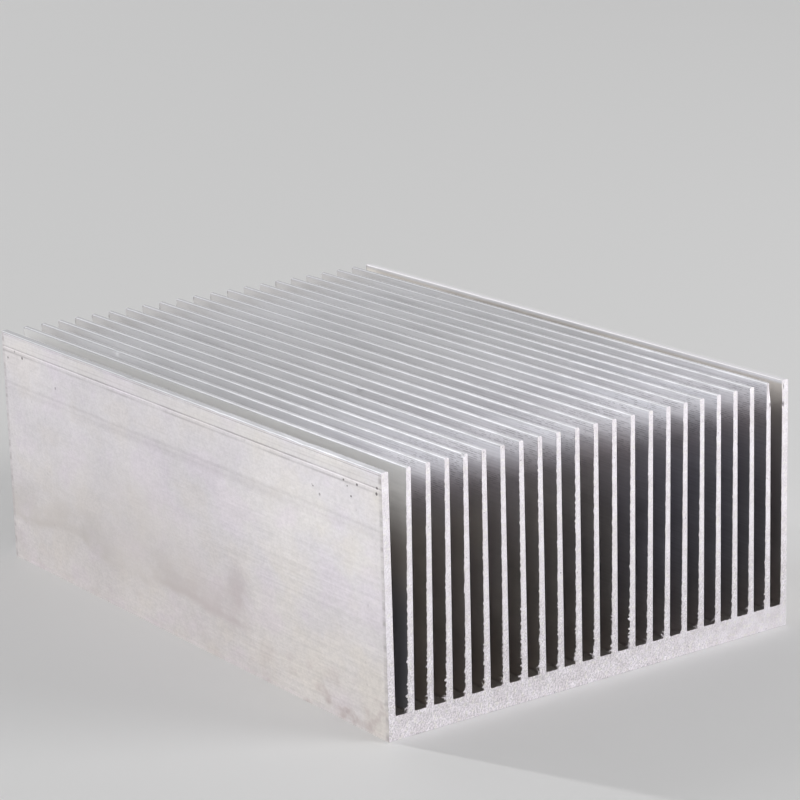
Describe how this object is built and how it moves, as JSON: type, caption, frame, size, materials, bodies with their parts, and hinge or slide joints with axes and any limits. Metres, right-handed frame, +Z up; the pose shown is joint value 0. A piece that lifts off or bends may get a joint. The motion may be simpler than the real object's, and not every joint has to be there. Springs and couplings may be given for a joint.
{
  "type": "extruded heat sink",
  "caption": "Flat base plate carrying a dense comb of thin upright fins between two outer walls, extruded in one piece and sawn square, to draw heat out of electronics.",
  "frame": {"origin": "middle of the underside of the base plate", "axes": "+X across the fins, +Y along the extrusion away from the sawn end that faces the viewer, +Z up along the fins"},
  "size_m": [0.069, 0.1, 0.036],
  "materials": {
    "bare_aluminium": "mill finish as extruded, with sawn ends"
  },
  "bodies": {
    "root": {"heat_sink": "bare_aluminium"}
  },
  "joints": []
}
